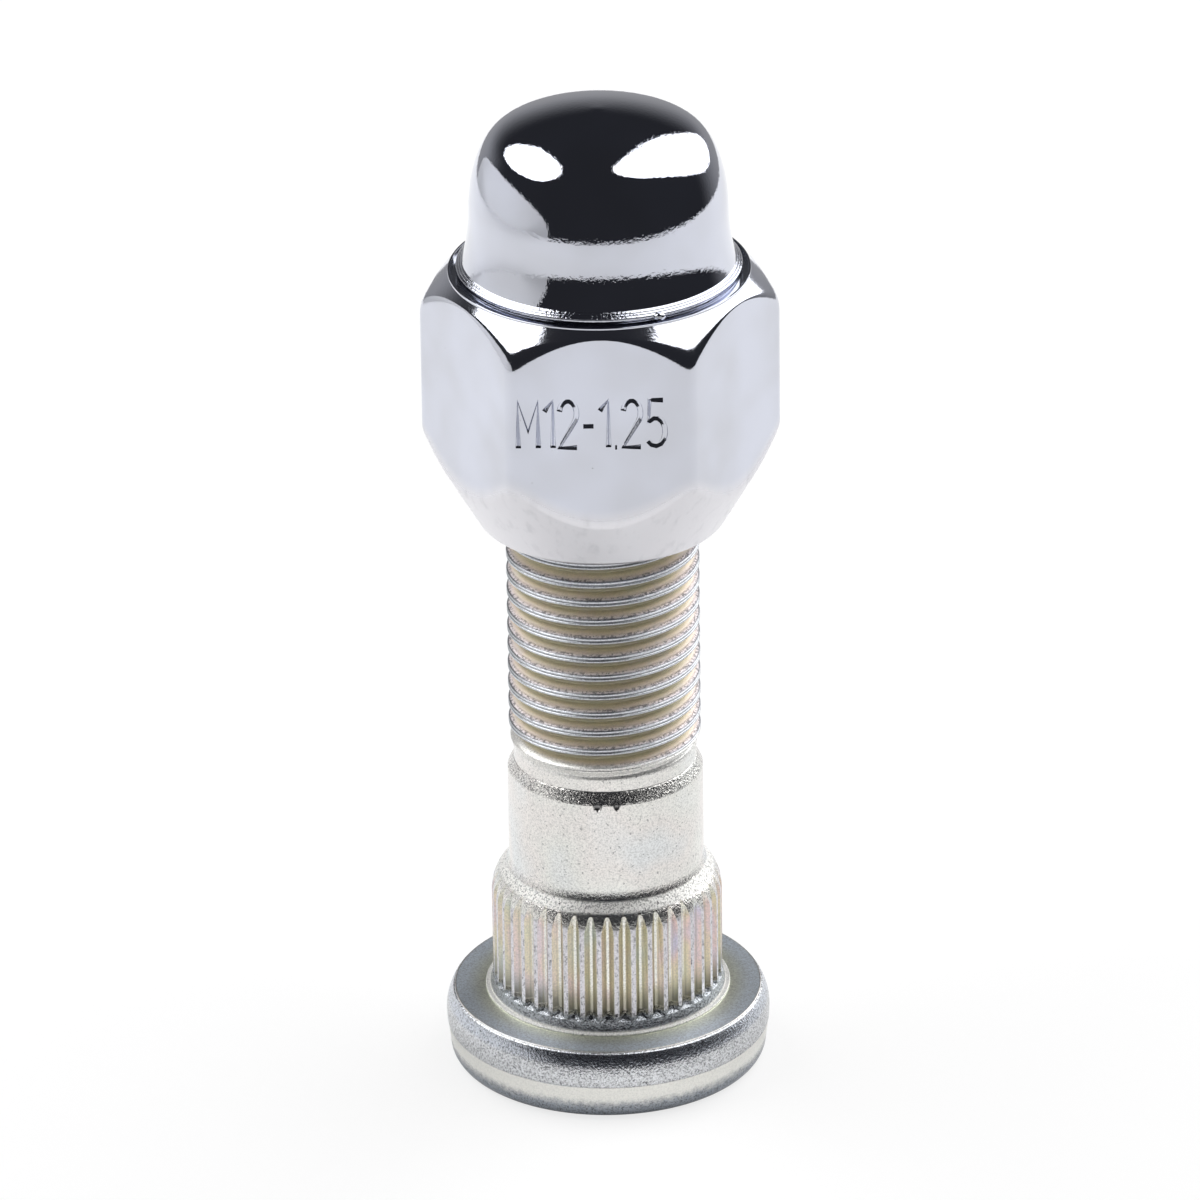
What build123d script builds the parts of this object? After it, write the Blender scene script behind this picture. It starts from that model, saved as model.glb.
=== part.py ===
from build123d import *
import math
import os

# Thread of the stud and of its nut
thread_d = 12.0  # nominal diameter, metric fine
thread_pitch = 1.25
crest_flat = 0.1  # rolled crests stay this far inside the nominal radius
thread_len = 25.2  # from the neck to the end of the stud
tip_chamfer = 0.9
nut_play = 0.05  # running clearance between crests and bore, each side

# Neck and plain shank under the thread
neck_len = 1.3
neck_cone = 0.8  # height of the cone from the neck out to the shank
shank_len = 6.22

# Splined collar that is pressed into the hub
knurl_step = 1.1  # from the shank out to the spline crests
knurl_lead_in = 1.43  # height of the cone above the splines
knurl_len = 6.25  # from the foot to where crests and cone would meet
knurl_shoulder_r = 2.45  # the crests round over into the cone
knurl_teeth = 42
knurl_depth = 0.33
knurl_root = 0.1  # width of each groove's floor
knurl_crest = 0.38  # width of each crest
knurl_runout = 0.4  # the grooves rise out of the collar over this height
lead_in_fillet = 0.7  # hollow between cone and shank
foot_flare = 0.3  # the collar's foot spreads this much onto the head
foot_h = 1.15

# Forged head, from its underside up: lower band, line left by the dies, swelling rim, bearing face
base_edge_r = 0.95
band_h = 2.3
band_draw = 0.26  # the band tapers in by this much towards the base
die_step = 0.07
swell_h = 0.7  # from the die line to the widest ring
rim_h = 1.6  # from the widest ring to the bearing face
rim_swell = 0.52  # widest ring past the bearing face
head_lip = 2.92  # head past the spline crests

# Nut body
nut_gap = 14.85  # bare thread between the neck and the nut
nut_af = 19.0  # across flats
nut_h = 16.2
nut_corner_r = 0.9
nut_foot_land = 0.95  # flat ring round the mouth of the thread
nut_foot_edge = 0.18
nut_mouth = 0.5  # countersink of the thread's mouth
seat_half_angle = 30.0
nut_top_inset = 0.37  # top face inside the flats
nut_top_angle = 48.0  # chamfer, measured from the top face

# Drawn cap on top of the nut
cap_sheet = 0.8
cap_lip = 0.5  # bare ring of the nut's top outside the cap
cap_flange = 0.75
cap_flange_h = 0.58
cap_flange_edge = 0.2
cap_foot_r = 0.3  # bend between flange and wall
cap_wall_h = 4.1
cap_draft = 1.2
cap_shoulder_r = 8.0
cap_shoulder_end = 27.5  # slope where the shoulder turns into the corner
cap_corner_r = 2.4
cap_corner_end = 67.0  # slope where the corner turns into the crown

# Radii and heights that follow from the sizes above
crest_r = thread_d / 2 - crest_flat
shank_r = thread_d / 2
sharp_thread_h = thread_pitch * math.sqrt(3) / 2
neck_r = thread_d / 2 - sharp_thread_h * 3 / 8  # the bar that a metric thread is rolled from
knurl_r = shank_r + knurl_step
root_r = knurl_r - knurl_depth
head_r = knurl_r + head_lip

head_h = band_h + swell_h + rim_h
foot_z = head_h + foot_h
crest_top_z = foot_z + knurl_len
shank_z = crest_top_z + knurl_lead_in
neck_cone_z = shank_z + shank_len
neck_z = neck_cone_z + neck_cone
thread_z = neck_z + neck_len
tip_z = thread_z + thread_len

bore_r = crest_r + nut_play
mouth_r = bore_r + nut_mouth
nut_foot_r = mouth_r + nut_foot_land
nut_z = thread_z + nut_gap
nut_top_z = nut_z + nut_h
nut_top_r = nut_af / 2 - nut_top_inset
cap_flange_r = nut_top_r - cap_lip
cap_flange_z = nut_top_z + cap_flange_h
cap_wall_r = cap_flange_r - cap_flange


def polar(radius, degrees):
    angle = math.radians(degrees)
    return Vector(radius * math.cos(angle), radius * math.sin(angle))


def vertex_at(sketch, radius, height):
    return sketch.vertices().sort_by_distance((radius, height))[0]


def turned_blank():
    """The whole stud before its splines are rolled: head, flared foot, collar, shank, neck and thread."""
    band_r = head_r - die_step
    base_r = band_r - band_draw
    belly_z = band_h + swell_h
    flare_r = (foot_h**2 + foot_flare**2) / (2 * foot_flare)
    flare_turn = math.degrees(math.asin(foot_h / flare_r))
    with BuildPart() as blank:
        with BuildSketch(Plane.XZ) as section:
            with BuildLine():
                base = Line((0, 0), (base_r - base_edge_r, 0))
                edge = RadiusArc(base @ 1, (base_r, base_edge_r), -base_edge_r)
                band = Line(edge @ 1, (band_r, band_h))
                step = Line(band @ 1, (head_r - die_step / 2, band_h + die_step))
                TangentArc((head_r, belly_z), step @ 1, tangent=(0, -1))
                rim = TangentArc((head_r, belly_z), (head_r - rim_swell, head_h), tangent=(0, 1))
                Line(rim @ 1, (knurl_r + foot_flare, head_h))
                CenterArc((knurl_r + flare_r, foot_z), flare_r, 180, flare_turn)
                collar = Line((knurl_r, foot_z), (knurl_r, crest_top_z))
                lead_in = Line(collar @ 1, (shank_r, shank_z))
                shank = Line(lead_in @ 1, (shank_r, neck_cone_z))
                cone = Line(shank @ 1, (neck_r, neck_z))
                neck = Line(cone @ 1, (neck_r, thread_z))
                start = Line(neck @ 1, (crest_r, thread_z + crest_r - neck_r))
                thread = Line(start @ 1, (crest_r, tip_z - tip_chamfer))
                tip = Line(thread @ 1, (crest_r - tip_chamfer, tip_z))
                Line(tip @ 1, (0, tip_z))
                Line((0, tip_z), (0, 0))
            make_face()
            fillet(vertex_at(section, knurl_r, crest_top_z), knurl_shoulder_r)
            fillet(vertex_at(section, shank_r, shank_z), lead_in_fillet)
        revolve(axis=Axis.Z)
    return blank.part


def grooves():
    """One V for each groove between the splines, ended below by a cone so that it runs out of the collar."""
    half_step = 180 / knurl_teeth
    crest_half = math.degrees(knurl_crest / 2 / knurl_r)
    root_half = math.degrees(knurl_root / 2 / root_r)
    floor_left = polar(root_r, root_half)
    floor_right = polar(root_r, -root_half)
    edge_left = polar(knurl_r, half_step - crest_half)
    edge_right = polar(knurl_r, crest_half - half_step)
    mouth_left = edge_left * 2 - floor_left  # each flank is carried on past the crest
    mouth_right = edge_right * 2 - floor_right
    inside_r = root_r - knurl_depth
    outside_r = knurl_r + knurl_depth * 2
    lowest_z = foot_z - knurl_runout * 2
    with BuildPart() as cutters:
        with BuildSketch(Plane.XY.offset(lowest_z)):
            with PolarLocations(0, knurl_teeth, start_angle=half_step):
                Polygon(floor_left, floor_right, mouth_right, mouth_left, align=None)
        extrude(amount=shank_z - lowest_z)
        with BuildSketch(Plane.XZ):
            with BuildLine():
                Polyline(
                    (inside_r, foot_z + knurl_runout * 2),
                    (outside_r, lowest_z),
                    (outside_r, shank_z),
                    (inside_r, shank_z),
                    close=True,
                )
            make_face()
        revolve(axis=Axis.Z, mode=Mode.INTERSECT)
    return cutters.part


def wheel_stud():
    return turned_blank() - grooves()


def nut_body():
    """Hexagon bar trimmed by one turned outline, cone seat below and chamfer above, and bored through."""
    corner_r = nut_af / math.sqrt(3)
    seat_slope = math.tan(math.radians(seat_half_angle))
    top_slope = math.tan(math.radians(nut_top_angle))
    seat_r = nut_foot_r + nut_foot_edge
    seat_z = nut_z + nut_foot_edge
    with BuildPart() as nut:
        with BuildSketch(Plane.XY.offset(nut_z)):
            RegularPolygon(nut_af / 2, 6, major_radius=False)
        extrude(amount=nut_h)
        fillet(nut.edges().filter_by(Axis.Z), nut_corner_r)
        with BuildSketch(Plane.XZ):
            with BuildLine():
                Polyline(
                    (0, nut_z),
                    (nut_foot_r, nut_z),
                    (seat_r, seat_z),
                    (corner_r, seat_z + (corner_r - seat_r) / seat_slope),
                    (corner_r, nut_top_z - (corner_r - nut_top_r) * top_slope),
                    (nut_top_r, nut_top_z),
                    (0, nut_top_z),
                    close=True,
                )
            make_face()
        revolve(axis=Axis.Z, mode=Mode.INTERSECT)
        with BuildSketch(Plane.XZ):
            with BuildLine():
                Polyline(
                    (0, nut_z),
                    (mouth_r, nut_z),
                    (bore_r, nut_z + nut_mouth),
                    (bore_r, nut_top_z),
                    (0, nut_top_z),
                    close=True,
                )
            make_face()
        revolve(axis=Axis.Z, mode=Mode.SUBTRACT)
    return nut.part


def cap_arcs(inset):
    """Shoulder, tight corner and shallow crown of one side of the sheet, each tangent to the next."""
    corner_end = math.radians(cap_corner_end)
    wall_top_r = cap_wall_r - cap_wall_h * math.tan(math.radians(cap_draft))
    shoulder = Vector(wall_top_r, cap_flange_z + cap_wall_h) - polar(cap_shoulder_r, cap_draft)
    corner = shoulder + polar(cap_shoulder_r - cap_corner_r, cap_shoulder_end)
    crown_r = cap_corner_r + corner.X / math.cos(corner_end)
    crown = Vector(0, corner.Y - (crown_r - cap_corner_r) * math.sin(corner_end))
    return (
        CenterArc(shoulder, cap_shoulder_r - inset, cap_draft, cap_shoulder_end - cap_draft),
        CenterArc(corner, cap_corner_r - inset, cap_shoulder_end, cap_corner_end - cap_shoulder_end),
        CenterArc(crown, crown_r - inset, cap_corner_end, 90 - cap_corner_end),
    )


def dome_cap():
    """Sheet cap of even thickness with a small flange that lies on the nut's top face."""
    hollow_r = cap_wall_r - cap_sheet / math.cos(math.radians(cap_draft))
    with BuildPart() as cap:
        with BuildSketch(Plane.XZ) as section:
            with BuildLine():
                outer = cap_arcs(0)
                inner = cap_arcs(cap_sheet)
                wall = Line(outer[0] @ 0, (cap_wall_r, cap_flange_z))
                flange = Line(wall @ 1, (cap_flange_r, cap_flange_z))
                edge = Line(flange @ 1, (cap_flange_r, nut_top_z))
                seat = Line(edge @ 1, (hollow_r, nut_top_z))
                Line(seat @ 1, inner[0] @ 0)
                Line(inner[2] @ 1, outer[2] @ 1)
            make_face()
            fillet(vertex_at(section, cap_wall_r, cap_flange_z), cap_foot_r)
            fillet(vertex_at(section, cap_flange_r, cap_flange_z), cap_flange_edge)
        revolve(axis=Axis.Z)
    return cap.part


pieces = {
    "wheel_stud": wheel_stud(),
    "nut_body": nut_body(),
    "dome_cap": dome_cap(),
}

os.makedirs("parts", exist_ok=True)
for name, piece in pieces.items():
    export_step(piece, f"parts/{name}.step")
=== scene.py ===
import bpy
import math
from mathutils import Matrix, Vector


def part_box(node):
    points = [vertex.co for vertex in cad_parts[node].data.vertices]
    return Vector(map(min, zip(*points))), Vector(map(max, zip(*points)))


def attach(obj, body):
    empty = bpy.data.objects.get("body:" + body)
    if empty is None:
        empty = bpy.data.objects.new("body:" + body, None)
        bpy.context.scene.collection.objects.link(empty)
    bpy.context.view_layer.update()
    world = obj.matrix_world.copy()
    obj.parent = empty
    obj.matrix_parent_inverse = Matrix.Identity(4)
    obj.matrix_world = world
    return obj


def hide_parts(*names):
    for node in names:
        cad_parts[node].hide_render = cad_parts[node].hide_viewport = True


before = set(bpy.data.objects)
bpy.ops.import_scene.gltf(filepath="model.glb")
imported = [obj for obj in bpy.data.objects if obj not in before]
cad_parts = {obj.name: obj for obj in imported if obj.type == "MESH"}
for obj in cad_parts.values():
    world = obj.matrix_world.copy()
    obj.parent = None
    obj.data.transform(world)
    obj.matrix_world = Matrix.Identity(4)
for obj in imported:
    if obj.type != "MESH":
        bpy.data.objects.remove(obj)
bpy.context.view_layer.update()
mm = 0.001
mergeGap = 1e-7  # metres
sliverWidth = 2e-6  # metres
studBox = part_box("wheel_stud")
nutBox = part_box("nut_body")
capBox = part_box("dome_cap")
print("frame loaded:", ", ".join(sorted(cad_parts)))


def pick(piece):
    bpy.ops.object.select_all(action="DESELECT")
    piece.select_set(True)
    bpy.context.view_layer.objects.active = piece


def arcRun(centre, radius, start, end, steps):  # points along an arc, angles in degrees
    points = []
    for i in range(steps + 1):
        angle = math.radians(start + (end - start) * i / steps)
        points.append((centre[0] + radius * math.cos(angle), centre[1] + radius * math.sin(angle)))
    return points


def roundedRun(corners, turnStep=8.0):  # (radius, height, rounding) corners to a run of points
    points = [corners[0][:2]]
    for before, corner, after in zip(corners, corners[1:], corners[2:]):
        rounding = corner[2]
        if rounding == 0:
            points.append(corner[:2])
            continue
        back = math.atan2(before[1] - corner[1], before[0] - corner[0])
        ahead = math.atan2(after[1] - corner[1], after[0] - corner[0])
        opening = (ahead - back + math.pi) % math.tau - math.pi
        reach = rounding / math.sin(abs(opening) / 2)
        middle = back + opening / 2
        centre = (corner[0] + reach * math.cos(middle), corner[1] + reach * math.sin(middle))
        turn = math.copysign(math.pi - abs(opening), -opening)
        start = middle + math.pi - turn / 2
        steps = max(2, round(abs(math.degrees(turn)) / turnStep))
        points += arcRun(centre, rounding, math.degrees(start), math.degrees(start + turn), steps)
    points.append(corners[-1][:2])
    return points


def drawSection(name, points):  # one vertex pulled from point to point, in millimetres
    bpy.ops.object.select_all(action="DESELECT")
    bpy.ops.mesh.primitive_plane_add(size=mm)
    piece = bpy.context.object
    piece.name = name
    bpy.ops.object.mode_set(mode="EDIT")
    bpy.ops.mesh.select_mode(type="VERT")
    bpy.ops.mesh.merge(type="CENTER")
    bpy.ops.transform.translate(value=(points[0][0] * mm, 0, points[0][1] * mm))
    for here, there in zip(points, points[1:]):
        pull = ((there[0] - here[0]) * mm, 0, (there[1] - here[1]) * mm)
        bpy.ops.mesh.extrude_region_move(TRANSFORM_OT_translate={"value": pull})
    return piece


def closeUp():
    bpy.ops.mesh.select_all(action="SELECT")
    bpy.ops.mesh.remove_doubles(threshold=mergeGap)
    bpy.ops.mesh.normals_make_consistent(inside=False)


def turnSection(name, points, steps):  # the section spun right round the stud's axis
    piece = drawSection(name, points)
    bpy.ops.mesh.select_all(action="SELECT")
    bpy.ops.mesh.spin(steps=steps, angle=math.tau, center=(0, 0, 0), axis=(0, 0, 1))
    closeUp()
    bpy.ops.object.mode_set(mode="OBJECT")
    return piece


def carve(piece, tool, operation):
    pick(piece)
    carving = piece.modifiers.new("carve", "BOOLEAN")
    carving.operation = operation
    carving.solver = "EXACT"
    carving.use_self = tool.name.startswith("mark")
    carving.object = tool
    bpy.ops.object.modifier_apply(modifier=carving.name)
    bpy.data.objects.remove(tool)


def dropSlivers(piece):  # merges the hair-thin faces that carving leaves
    pick(piece)
    bpy.ops.object.mode_set(mode="EDIT")
    bpy.ops.mesh.select_all(action="SELECT")
    bpy.ops.mesh.remove_doubles(threshold=sliverWidth)
    bpy.ops.mesh.dissolve_degenerate(threshold=sliverWidth)
    bpy.ops.object.mode_set(mode="OBJECT")


def makeDots(name, dots):  # small round lumps, each a place and a size
    lumps = []
    for place, size in dots:
        bpy.ops.object.select_all(action="DESELECT")
        bpy.ops.mesh.primitive_ico_sphere_add(subdivisions=2, radius=mm)
        bpy.ops.transform.resize(value=size, center_override=(0, 0, 0))
        bpy.ops.transform.translate(value=[part * mm for part in place])
        lumps.append(bpy.context.object)
    for lump in lumps:
        lump.select_set(True)
    if len(lumps) > 1:
        bpy.ops.object.join()
    tool = bpy.context.object
    tool.name = name
    return tool


def smoothFaces(piece, sharpDegrees, weighted=False):
    pick(piece)
    bpy.ops.object.shade_smooth_by_angle(angle=math.radians(sharpDegrees))
    if weighted:
        even = piece.modifiers.new("even", "WEIGHTED_NORMAL")
        even.keep_sharp = True
        even.weight = 100
        bpy.ops.object.modifier_apply(modifier=even.name)


def screwRod(name, run, pitch, firstRoot, turns, steps):  # one pitch of outline swept up a helix
    points = [(radius, firstRoot + rise) for radius, rise in run]
    rod = drawSection(name, points)
    bpy.ops.object.mode_set(mode="OBJECT")
    sweep = rod.modifiers.new("sweep", "SCREW")
    sweep.axis = "Z"
    sweep.angle = math.tau
    sweep.screw_offset = pitch * mm
    sweep.iterations = turns
    sweep.steps = steps
    sweep.render_steps = steps
    bpy.ops.object.modifier_apply(modifier=sweep.name)
    bpy.ops.object.mode_set(mode="EDIT")
    closeUp()
    bpy.ops.object.mode_set(mode="OBJECT")
    return rod


def trim(rod, height, above, fill):  # cuts the rod off level at a height
    pick(rod)
    bpy.ops.object.mode_set(mode="EDIT")
    bpy.ops.mesh.select_all(action="SELECT")
    bpy.ops.mesh.bisect(
        plane_co=(0, 0, height * mm),
        plane_no=(0, 0, 1),
        use_fill=fill,
        clear_inner=not above,
        clear_outer=above,
        threshold=mergeGap,
    )
    bpy.ops.object.mode_set(mode="OBJECT")


# Stud: forged head, splined collar, shank and rolled thread. Lengths in millimetres.
stud = {
    "steps": 252,
    "turnStep": 5.0,  # degrees between points on the collar's roundings
    "sharp": 28,  # degrees
    "baseRadius": 9.69,
    "baseEdge": 0.95,
    "bandRadius": 9.95,
    "bandTop": 2.3,
    "dieStep": 0.07,
    "bellyHeight": 3.0,
    "headRadius": 10.02,
    "rimSwell": 0.52,
    "rimSteps": 10,
    "headTop": 4.6,
    "faceEdge": 0.05,
    "faceLand": 0.09,  # short upright ring at the edge of the bearing face
    "footRadius": 7.4,
    "footBead": 0.16,
    "beadHollow": 0.03,
    "beadEdge": 0.04,
    "footTop": 5.75,
    "flareSteps": 8,
    "crestRadius": 7.1,
    "crestTop": 12.0,
    "shoulder": 2.45,
    "shankRadius": 6.0,
    "shankFoot": 13.43,
    "hollow": 1.3,
    "shankTop": 19.65,
    "shankEdge": 0.12,
    "nicks": [  # place and size of each
        ((-0.52, -6.06, 19.6), (0.3, 0.24, 0.36)),
        ((0.66, -6.04, 19.62), (0.2, 0.22, 0.34)),
    ],
    "neckRadius": 5.594,
    "neckFoot": 20.45,
    "neckHollow": 0.2,
    "neckCut": 20.55,
}
spline = {
    "count": 42,
    "depth": 0.36,
    "floor": 0.14,
    "floorLift": 0.12,  # the floor is rounded up to this share of the depth
    "floorSpread": 2,
    "crest": 0.36,
    "foot": 5.36,  # the grooves have run out of the collar here
    "scoop": 0.75,  # radius of the run-out
    "scoopSteps": 6,
    "scoopReach": 1.1,  # share of the depth that the run-out climbs
    "leastLeft": 0.12,  # share of the depth at which it stops widening
}
thread = {
    "pitch": 1.25,
    "rootRadius": 5.233,
    "rootHalf": 0.1,
    "rootEase": 0.012,
    "crestRadius": 5.9,
    "crestHalf": 0.19,
    "crestEase": 0.006,
    "seam": 0.06,  # depth of the fold along the rolled crest
    "edge": 0.05,  # rounding where flanks meet root and crest
    "frontCrest": 29.50,  # height of one crest on the side that faces the camera
    "start": 21.1,
    "fade": 1.2,  # the last turn fades out over this height
    "bandRadius": 5.62,
    "bandEdge": 0.12,
    "joint": 20.7,
    "tipChamfer": 0.9,
    "steps": 96,
}


def studOutline():
    s = stud
    rimRadius = (s["rimSwell"] ** 2 + (s["headTop"] - s["bellyHeight"]) ** 2) / (2 * s["rimSwell"])
    rimTurn = math.degrees(math.asin((s["headTop"] - s["bellyHeight"]) / rimRadius))
    rise = s["footTop"] - s["headTop"]
    spread = s["footRadius"] - s["crestRadius"]
    flare = (rise**2 + spread**2) / (2 * spread)
    flareTurn = math.degrees(math.asin(rise / flare))
    lower = roundedRun(
        [
            (0, 0, 0),
            (s["baseRadius"], 0, s["baseEdge"]),
            (s["bandRadius"], s["bandTop"], 0),
            (s["headRadius"] - s["dieStep"] / 2, s["bandTop"] + s["dieStep"], 0),
            (s["headRadius"], s["bellyHeight"], 0),
        ]
    )
    rim = arcRun((s["headRadius"] - rimRadius, s["bellyHeight"]), rimRadius, 0, rimTurn, s["rimSteps"])
    faceRadius = rim[-1][0]
    bead = s["footBead"]
    edge = roundedRun(
        [
            (*rim[-2], 0),
            (faceRadius, s["headTop"] - s["faceLand"], 0),
            (faceRadius, s["headTop"], s["faceEdge"]),
            (s["footRadius"] + bead, s["headTop"], s["beadHollow"]),
            (s["footRadius"] + bead, s["headTop"] + bead, s["beadEdge"]),
            (s["footRadius"] - bead / 2, s["headTop"] + bead, 0),
        ]
    )
    flareMiddle = (s["crestRadius"] + flare, s["footTop"])
    foot = arcRun(flareMiddle, flare, 180 + flareTurn, 180, s["flareSteps"])
    upper = roundedRun(
        [
            (s["crestRadius"], s["footTop"], 0),
            (s["crestRadius"], s["crestTop"], s["shoulder"]),
            (s["shankRadius"], s["shankFoot"], s["hollow"]),
            (s["shankRadius"], s["shankTop"], s["shankEdge"]),
            (s["neckRadius"], s["neckFoot"], s["neckHollow"]),
            (s["neckRadius"], s["neckCut"], 0),
            (0, s["neckCut"], 0),
        ],
        turnStep=s["turnStep"],
    )
    return lower[:-1] + rim[:-2] + edge + foot[2:-1] + upper


def grooveSide():  # half of the V, as height over its floor and half width
    depth = spline["depth"]
    floorHalf = spline["floor"] / 2
    openHalf = math.pi / spline["count"] * stud["crestRadius"] - spline["crest"] / 2
    return [
        (0, floorHalf),
        (depth * spline["floorLift"], floorHalf * spline["floorSpread"]),
        (depth * 2, openHalf * 2 - floorHalf),  # carried on past the crest
    ]


def splineGrooves():  # one V, pulled up from its run-out and copied round the collar
    step = math.tau / spline["count"]
    depth = spline["depth"]
    root = stud["crestRadius"] - depth
    side = grooveSide()
    section = side + [(up, -half) for up, half in reversed(side)]
    scoop = spline["scoop"]
    exitTurn = math.degrees(math.acos(1 - depth * spline["scoopReach"] / scoop))
    path = arcRun((root + scoop, 0), scoop, 180 + exitTurn, 180, spline["scoopSteps"])
    lift = spline["foot"] - path[0][1]
    path = [(radius, height + lift) for radius, height in path] + [(root, stud["shankFoot"])]
    spreads = []
    for radius, height in path:  # widened towards the exit, so that each groove ends round
        left = max(1 - (radius - root) / depth, spline["leastLeft"])
        spreads.append(math.sqrt(1 - (1 - left) ** 2) / left)
    bpy.ops.object.select_all(action="DESELECT")
    bpy.ops.mesh.primitive_circle_add(vertices=len(section), radius=mm, fill_type="NGON")
    cutter = bpy.context.object
    cutter.name = "grooveCutter"
    for vertex, (up, half) in zip(cutter.data.vertices, section):
        vertex.co = ((path[0][0] + up) * mm, half * spreads[0] * mm, path[0][1] * mm)
    bpy.ops.object.mode_set(mode="EDIT")
    bpy.ops.mesh.select_mode(type="FACE")
    bpy.ops.mesh.select_all(action="SELECT")
    for i, (here, there) in enumerate(zip(path, path[1:])):
        pull = ((there[0] - here[0]) * mm, 0, (there[1] - here[1]) * mm)
        bpy.ops.mesh.extrude_region_move(TRANSFORM_OT_translate={"value": pull})
        narrow = spreads[i + 1] / spreads[i]
        bpy.ops.transform.resize(value=(1, narrow, 1), center_override=(0, 0, 0))
    bpy.ops.mesh.select_all(action="SELECT")
    bpy.ops.transform.rotate(value=-step / 2, orient_axis="Z", center_override=(0, 0, 0))
    bpy.ops.mesh.spin(
        steps=spline["count"] - 1,
        dupli=True,
        angle=math.tau - step,
        center=(0, 0, 0),
        axis=(0, 0, 1),
    )
    closeUp()
    bpy.ops.object.mode_set(mode="OBJECT")
    return cutter


def threadRun(root, crest, crestHalf, seam):  # one pitch of thread outline, root to root
    half = thread["pitch"] / 2
    rootHalf = thread["rootHalf"]
    edge = thread["edge"]
    lean = (half - crestHalf - rootHalf) / (crest - root - edge * 2)
    climb = [
        (root, 0),
        (root + thread["rootEase"], rootHalf * 0.6),
        (root + edge, rootHalf),
        (root + edge * 2, rootHalf + edge * lean),
        (crest - edge * 2, half - crestHalf - edge * lean),
        (crest - edge, half - crestHalf),
        (crest - thread["crestEase"], half - crestHalf * 0.8),
        (crest, half - crestHalf * 0.55),
        (crest - seam * 0.25, half - crestHalf * 0.32),
        (crest - seam, half - crestHalf * 0.1),
        (crest - seam, half),
    ]
    return climb + [(radius, thread["pitch"] - rise) for radius, rise in reversed(climb[:-1])]


def firstRootAt(below):  # root of the helix over +X, in step with the crest seen in front
    crestOverX = thread["frontCrest"] + thread["pitch"] / 4
    turnsDown = math.ceil((crestOverX - below) / thread["pitch"])
    return crestOverX - turnsDown * thread["pitch"] - thread["pitch"] / 2


def easeInOut(t):
    t = min(max(t, 0.0), 1.0)
    return t * t * (3 - 2 * t)


def makeThread():
    tip = studBox[1].z / mm
    firstRoot = firstRootAt(thread["joint"] - thread["pitch"] * 1.5)
    turns = math.ceil((tip - firstRoot) / thread["pitch"]) + 1
    run = threadRun(thread["rootRadius"], thread["crestRadius"], thread["crestHalf"], thread["seam"])
    rod = screwRod("studThread", run, thread["pitch"], firstRoot, turns, thread["steps"])
    for vertex in rod.data.vertices:
        radius = math.hypot(vertex.co.x, vertex.co.y) / mm
        height = vertex.co.z / mm
        fade = easeInOut((height - thread["start"]) / thread["fade"])
        wanted = thread["bandRadius"] + (radius - thread["bandRadius"]) * fade
        sink = easeInOut((thread["start"] - height) / thread["bandEdge"])
        wanted += (stud["neckRadius"] - wanted) * sink
        wanted = min(wanted, thread["crestRadius"] - thread["tipChamfer"] + tip - height)
        vertex.co.x *= wanted / radius
        vertex.co.y *= wanted / radius
    trim(rod, tip, above=True, fill=True)
    trim(rod, thread["joint"], above=False, fill=False)
    return rod


def makeStud():
    piece = turnSection("studBody", studOutline(), stud["steps"])
    carve(piece, splineGrooves(), "DIFFERENCE")
    carve(piece, makeDots("studNicks", stud["nicks"]), "DIFFERENCE")
    pick(piece)
    bpy.ops.object.mode_set(mode="EDIT")
    bpy.ops.mesh.select_mode(type="VERT")
    bpy.ops.mesh.select_all(action="DESELECT")
    bpy.ops.object.mode_set(mode="OBJECT")
    for vertex in piece.data.vertices:
        onAxis = math.hypot(vertex.co.x, vertex.co.y) < mergeGap
        vertex.select = onAxis and vertex.co.z > stud["neckFoot"] * mm
    bpy.ops.object.mode_set(mode="EDIT")
    bpy.ops.mesh.delete(type="VERT")
    bpy.ops.object.mode_set(mode="OBJECT")
    rod = makeThread()
    pick(rod)
    piece.select_set(True)
    bpy.context.view_layer.objects.active = piece
    bpy.ops.object.join()
    bpy.ops.object.mode_set(mode="EDIT")
    bpy.ops.mesh.select_mode(type="EDGE")
    bpy.ops.mesh.select_all(action="DESELECT")
    bpy.ops.mesh.select_non_manifold()
    bpy.ops.mesh.bridge_edge_loops()
    bpy.ops.mesh.select_all(action="SELECT")
    bpy.ops.mesh.normals_make_consistent(inside=False)
    bpy.ops.object.mode_set(mode="OBJECT")
    smoothFaces(piece, stud["sharp"])
    return piece


# Nut: hexagon with a cone seat below and a chamfer above, tapped right through
nut = {
    "acrossFlats": 19.0,
    "cornerRounding": 0.9,
    "footRadius": 7.4,
    "footEdge": 0.18,
    "footRounding": 0.12,
    "seatAngle": 30.0,
    "seatRounding": 1.3,
    "topRadius": 9.13,
    "topAngle": 48.0,
    "topRounding": 0.3,
    "cornerTopRounding": 2.3,
    "lip": 0.16,
    "lipRise": 0.12,
    "lipHollow": 0.03,
    "lipEdge": 0.04,
    "gapDip": 0.2,
    "gapRadius": 8.6,
    "boreRadius": 5.32,
    "tapRadius": 6.06,
    "tapCrest": 0.12,  # leaves the stud's thread a little room
    "tapSteps": 72,
    "tapLead": 3,  # the tap starts and ends this far outside the nut
    "overcut": 1,
    "mouthRadius": 6.45,
    "mouthDeepen": 0.2,
    "flatColumns": 20,
    "cornerColumns": 10,
    "steps": 180,
    "sharp": 30,  # degrees
}


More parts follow.
